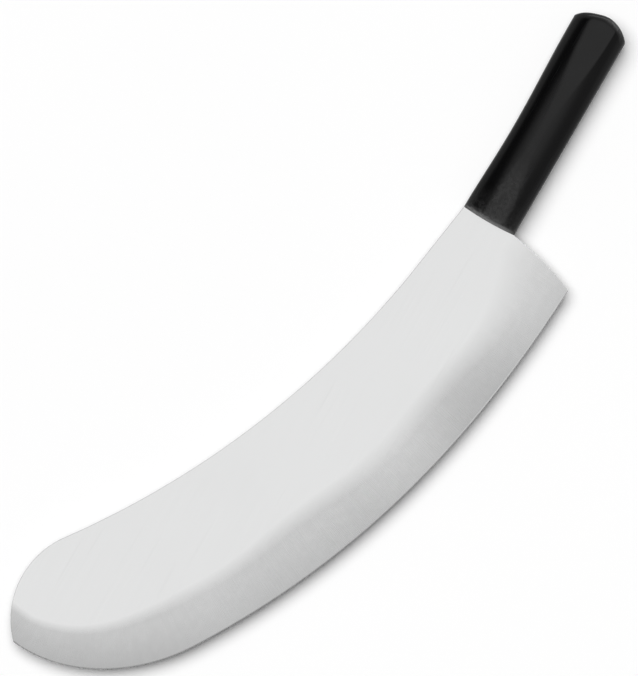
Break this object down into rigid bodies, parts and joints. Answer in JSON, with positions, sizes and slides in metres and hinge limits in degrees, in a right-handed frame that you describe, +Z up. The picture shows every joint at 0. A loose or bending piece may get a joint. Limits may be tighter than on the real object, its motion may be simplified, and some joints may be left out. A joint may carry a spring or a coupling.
{
  "type": "mezzaluna",
  "caption": "One-handed curved mincing knife: broad crescent steel blade with concave spine, wide soft bevel and rounded tip, on a waisted black moulded handle; rocked to chop food.",
  "frame": {"origin": "middle of the bounding box in plan, at the level of the handle's flat underside", "axes": "+X along the handle from the butt to the tip, +Y towards the cutting edge, +Z up, square to the flat of the blade"},
  "size_m": [0.528, 0.209, 0.022],
  "materials": {
    "blade_steel": "satin flats, finely ground bevel",
    "handle_plastic": "semi-gloss black moulding"
  },
  "bodies": {
    "root": {"blade": "blade_steel", "handle": "handle_plastic"}
  },
  "joints": []
}
